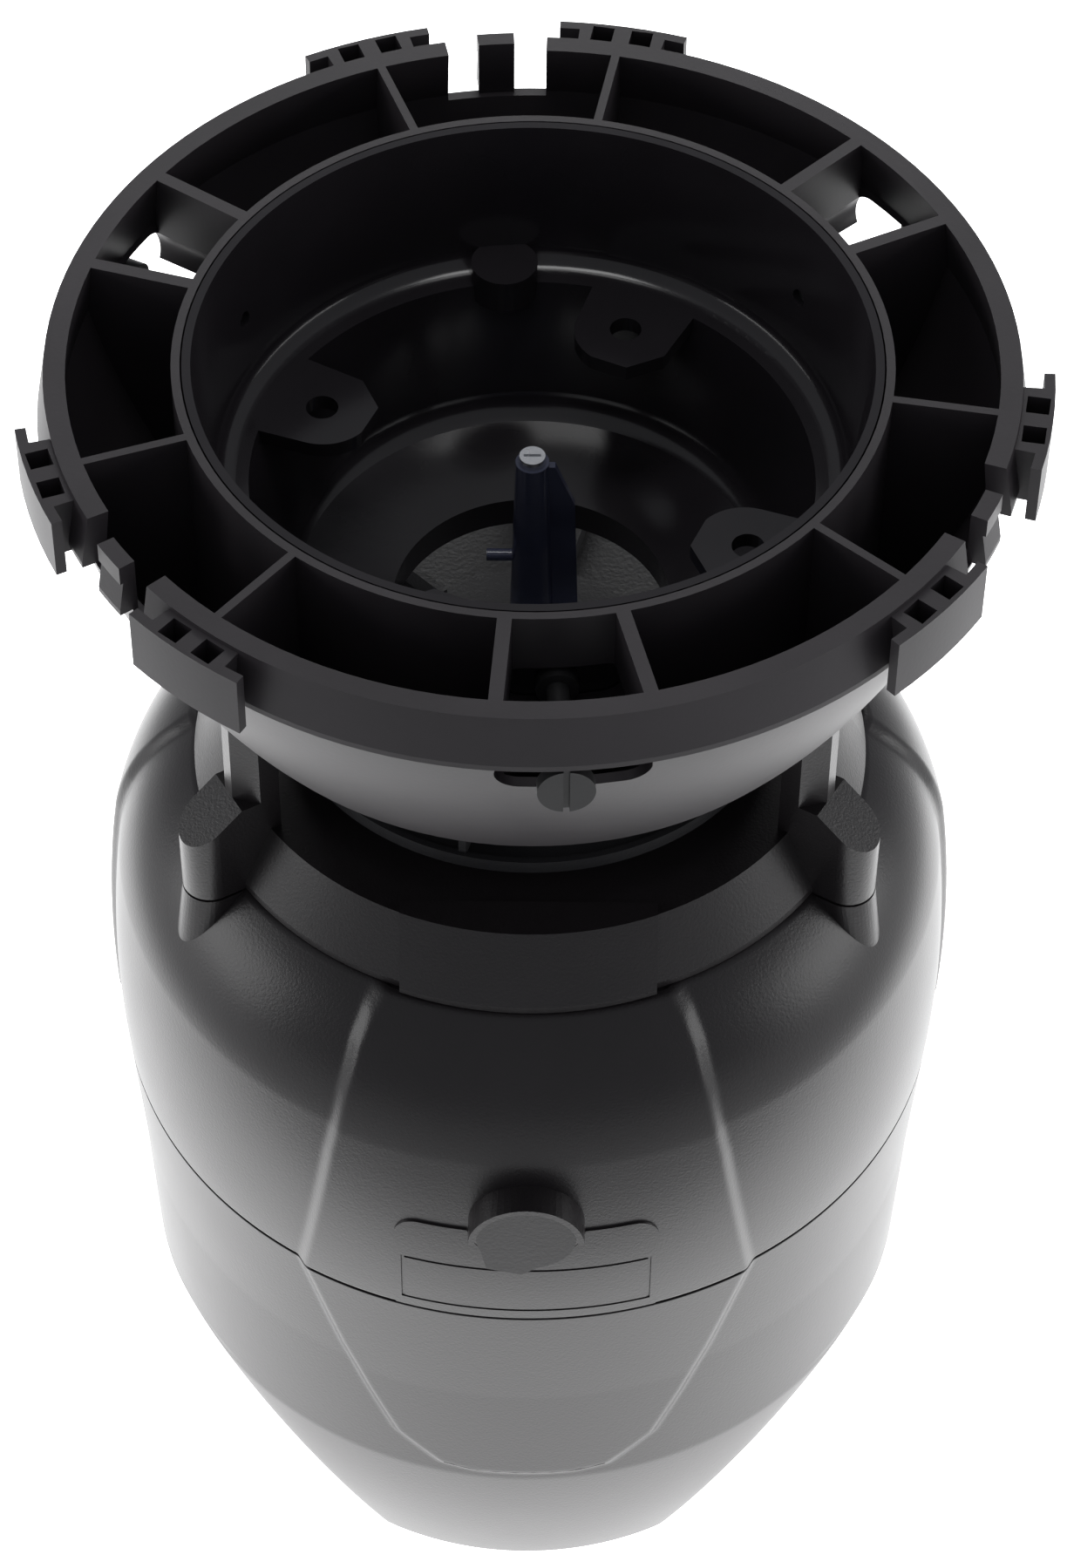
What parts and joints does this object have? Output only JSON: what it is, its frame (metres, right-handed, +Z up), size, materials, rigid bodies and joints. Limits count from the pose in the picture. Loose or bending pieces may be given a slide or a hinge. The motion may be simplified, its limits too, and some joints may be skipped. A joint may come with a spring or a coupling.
{
  "type": "game feeder spreader head",
  "caption": "Battery feed spreader head: twist-lock hopper ring, feed funnel, agitator and spin plate on a three-post cap above a barrel housing with a charging port.",
  "frame": {"origin": "centre of the flat base, on the spinner axis", "axes": "+Z up along the spinner axis; -Y is the front, with the charging port and the blank name plate; +X to the right seen from the front"},
  "size_m": [0.232, 0.2305, 0.372],
  "materials": {
    "black_housing": "satin fine grain",
    "black_gloss": "glossy",
    "spinner_plastic": "grainy dark blue-grey",
    "smoke_plastic": "dark translucent",
    "rubber_black": "soft matte",
    "screw_black": "blackened",
    "zinc_steel": "zinc plated",
    "can_steel": "drawn steel",
    "terminal_metal": "plain",
    "battery_case": "moulded",
    "timer_grey": "satin",
    "board_green": "solder mask",
    "display": "liquid-crystal grey green",
    "clear_lens": "clear",
    "button_rubber": "soft",
    "strap_web": "woven web",
    "wire_sheath": "insulated wire"
  },
  "bodies": {
    "housing": {"upper_housing": "black_housing", "name_plate": "black_housing", "top_cap": "black_housing", "cap_gasket": "rubber_black", "funnel": "black_gloss", "guide_screws": "screw_black", "post_screws": "zinc_steel", "cap_screws": "zinc_steel", "motor_screws": "zinc_steel", "chassis_screws": "zinc_steel", "shaft_seal": "rubber_black", "motor_plate": "zinc_steel", "gearbox": "can_steel", "motor_can": "can_steel", "motor_terminals": "terminal_metal", "chassis_plate": "timer_grey", "battery": "battery_case", "battery_terminals": "terminal_metal", "battery_tray": "black_housing", "battery_strap": "strap_web", "timer_case": "timer_grey", "circuit_board": "board_green", "display_module": "display", "display_lens": "clear_lens", "button_switches": "button_rubber", "timer_brackets": "timer_grey", "charge_jack": "terminal_metal", "jack_nut": "zinc_steel", "motor_leads": "wire_sheath", "battery_leads": "wire_sheath", "charge_leads": "wire_sheath"},
    "ring": {"adapter_ring": "black_gloss"},
    "spinner": {"spin_plate": "spinner_plastic", "spinner_hub": "zinc_steel", "hub_set_screw": "zinc_steel", "motor_shaft": "zinc_steel", "agitator_post": "smoke_plastic", "agitator_screw": "zinc_steel"},
    "port_plug_body": {"port_plug": "rubber_black"},
    "cup": {"lower_cup": "black_housing", "seam_seal": "rubber_black"},
    "button_mode_body": {"button_mode": "button_rubber"},
    "button_set_body": {"button_set": "button_rubber"},
    "button_up_body": {"button_up": "button_rubber"},
    "button_down_body": {"button_down": "button_rubber"}
  },
  "joints": [
    {"name": "ring_turn", "type": "hinge", "parent": "housing", "child": "ring", "pos_m": [0, 0, 0.336], "axis": [0, 0, 1], "range_deg": [-7.2, 5.2]},
    {"name": "spinner_turn", "type": "hinge", "parent": "housing", "child": "spinner", "pos_m": [0, 0, 0.266], "axis": [0, 0, 1], "continuous": true},
    {"name": "plug_pull", "type": "slide", "parent": "housing", "child": "port_plug_body", "axis": [0, -1, 0], "range_m": [0, 0.015]},
    {"name": "cup_drop", "type": "slide", "parent": "housing", "child": "cup", "axis": [0, 0, -1], "range_m": [0, 0.12]},
    {"name": "button_mode_press", "type": "slide", "parent": "housing", "child": "button_mode_body", "axis": [0, 1, 0], "range_m": [0, 0.001], "stiffness_N_per_m": 300, "springref_m": -0.001},
    {"name": "button_set_press", "type": "slide", "parent": "housing", "child": "button_set_body", "axis": [0, 1, 0], "range_m": [0, 0.001], "stiffness_N_per_m": 300, "springref_m": -0.001},
    {"name": "button_up_press", "type": "slide", "parent": "housing", "child": "button_up_body", "axis": [0, 1, 0], "range_m": [0, 0.001], "stiffness_N_per_m": 300, "springref_m": -0.001},
    {"name": "button_down_press", "type": "slide", "parent": "housing", "child": "button_down_body", "axis": [0, 1, 0], "range_m": [0, 0.001], "stiffness_N_per_m": 300, "springref_m": -0.001}
  ]
}
